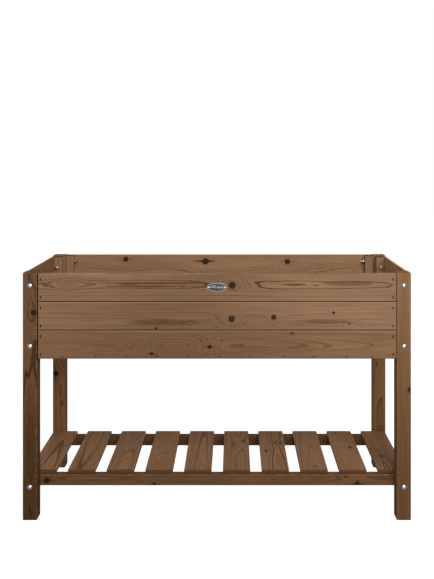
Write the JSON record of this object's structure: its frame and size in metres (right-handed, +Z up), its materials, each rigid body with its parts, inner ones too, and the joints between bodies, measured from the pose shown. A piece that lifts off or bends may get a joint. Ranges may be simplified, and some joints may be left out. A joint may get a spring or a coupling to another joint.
{
  "type": "raised planter on legs",
  "caption": "Stained pine trough planter on square posts, with tongue and groove panels, a board floor and a slatted shelf below.",
  "frame": {"origin": "on the ground under the middle of the planter, between its four legs", "axes": "+X along the planter's length to the viewer's right, +Y from front to back, +Z up"},
  "size_m": [1.1972, 0.4472, 0.758],
  "materials": {
    "post_pine": "brown stained pine post, fine straight grain, satin",
    "panel_pine": "brown stained pine board, flat sawn grain with knots, satin",
    "shelf_pine": "brown stained pine slat, flat sawn grain, satin",
    "batten_pine": "brown stained sawn pine batten, matt",
    "zinc_steel": "bright zinc plated steel",
    "bright_wire": "drawn steel wire, sunk into the wood",
    "plate_metal": "thin pressed plate, silver grey, satin finish"
  },
  "bodies": {
    "root": {"back_batten_left": "batten_pine", "back_batten_right": "batten_pine", "back_board_bottom": "panel_pine", "back_board_middle": "panel_pine", "back_board_top": "panel_pine", "back_floor_ledger": "batten_pine", "back_shelf_rail": "shelf_pine", "badge": "plate_metal", "badge_pins": "plate_metal", "board_staples": "bright_wire", "floor_board_01": "batten_pine", "floor_board_02": "batten_pine", "floor_board_03": "batten_pine", "floor_board_04": "batten_pine", "floor_board_05": "batten_pine", "floor_board_06": "batten_pine", "floor_board_07": "batten_pine", "floor_board_08": "batten_pine", "floor_board_09": "batten_pine", "floor_board_10": "batten_pine", "floor_board_11": "batten_pine", "floor_board_12": "batten_pine", "front_batten_left": "batten_pine", "front_batten_right": "batten_pine", "front_board_bottom": "panel_pine", "front_board_middle": "panel_pine", "front_board_top": "panel_pine", "front_floor_ledger": "batten_pine", "front_shelf_rail": "shelf_pine", "hex_nuts": "zinc_steel", "ledger_staples": "bright_wire", "left_batten_back": "batten_pine", "left_batten_front": "batten_pine", "left_board_bottom": "panel_pine", "left_board_middle": "panel_pine", "left_board_top": "panel_pine", "leg_back_left": "post_pine", "leg_back_right": "post_pine", "leg_front_left": "post_pine", "leg_front_right": "post_pine", "long_panel_bolts": "zinc_steel", "right_batten_back": "batten_pine", "right_batten_front": "batten_pine", "right_board_bottom": "panel_pine", "right_board_middle": "panel_pine", "right_board_top": "panel_pine", "shelf_rail_bolts": "zinc_steel", "shelf_slat_01": "shelf_pine", "shelf_slat_02": "shelf_pine", "shelf_slat_03": "shelf_pine", "shelf_slat_04": "shelf_pine", "shelf_slat_05": "shelf_pine", "shelf_slat_06": "shelf_pine", "shelf_slat_07": "shelf_pine", "shelf_slat_08": "shelf_pine", "shelf_slat_09": "shelf_pine", "shelf_slat_10": "shelf_pine", "side_panel_bolts": "zinc_steel", "slat_nails": "bright_wire", "washers": "zinc_steel"}
  },
  "joints": []
}
